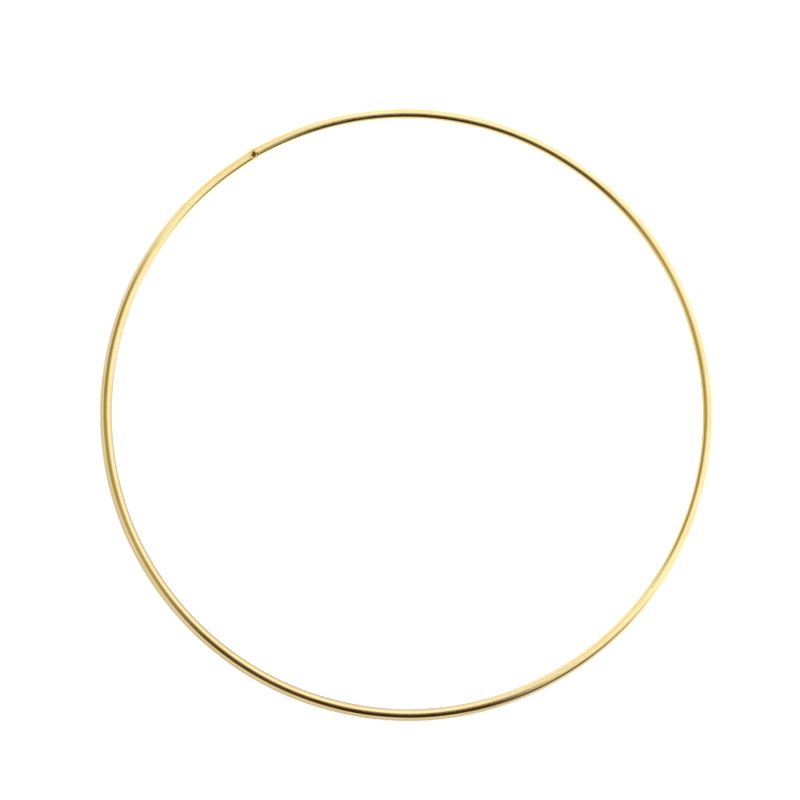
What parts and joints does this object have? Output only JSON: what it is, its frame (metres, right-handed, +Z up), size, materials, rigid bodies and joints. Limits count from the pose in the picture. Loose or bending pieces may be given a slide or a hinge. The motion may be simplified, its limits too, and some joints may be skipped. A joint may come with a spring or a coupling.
{
  "type": "wreath frame",
  "caption": "Flat round ring of bent plated wire, closed by a butt weld, that foliage, flowers or yarn are bound onto to make a wreath or hoop.",
  "frame": {"origin": "centre of the ring, on the surface that the ring lies on", "axes": "+Z up along the ring's axis; +X and +Y lie across the ring, with the weld 120.4 degrees anticlockwise from +X seen from above"},
  "size_m": [0.156, 0.156, 0.003],
  "materials": {
    "brass_plate": "bright brass electroplate over drawn steel wire, with fine lengthwise draw lines and light handling scratches",
    "weld_plate": "thin dull plate over rough, heat-darkened weld metal"
  },
  "bodies": {
    "root": {"ring_wire": "brass_plate", "butt_weld": "weld_plate"}
  },
  "joints": []
}
